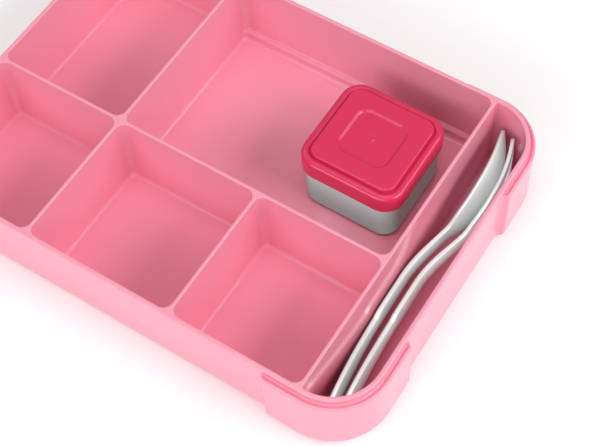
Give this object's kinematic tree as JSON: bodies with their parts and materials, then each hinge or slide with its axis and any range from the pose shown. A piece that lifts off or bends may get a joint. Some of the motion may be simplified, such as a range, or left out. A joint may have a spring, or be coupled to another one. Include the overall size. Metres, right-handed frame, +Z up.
{
  "type": "bento lunch box with cutlery",
  "caption": "Open rectangular lunch box tray with divided food compartments, a lidded steel sauce pot, and a spoon and fork standing in a slot.",
  "frame": {"origin": "middle of the underside of the box, on the surface it stands on", "axes": "+X runs along the length to the cutlery slot, +Y to the long side behind the large compartment, +Z up"},
  "size_m": [0.2476, 0.1796, 0.0405],
  "materials": {
    "pink_plastic": "smooth, semi-gloss moulded pink plastic",
    "crimson_plastic": "glossy crimson moulded plastic",
    "polished_steel": "bright, finely brushed stainless steel"
  },
  "bodies": {
    "box": {"base_tray": "pink_plastic"},
    "pot": {"sauce_pot": "polished_steel"},
    "pot_lid": {"sauce_pot_lid": "crimson_plastic"},
    "spoon": {"spoon": "polished_steel"},
    "fork": {"fork": "polished_steel"}
  },
  "joints": [
    {"name": "pot_lift", "type": "slide", "parent": "box", "child": "pot", "axis": [0, 0, 1], "range_m": [0, 0.06]},
    {"name": "pot_lid_lift", "type": "slide", "parent": "pot", "child": "pot_lid", "axis": [0, 0, 1], "range_m": [0, 0.03]},
    {"name": "spoon_lift", "type": "slide", "parent": "box", "child": "spoon", "axis": [0, 0, 1], "range_m": [0, 0.06]},
    {"name": "fork_lift", "type": "slide", "parent": "box", "child": "fork", "axis": [0, 0, 1], "range_m": [0, 0.06]}
  ]
}
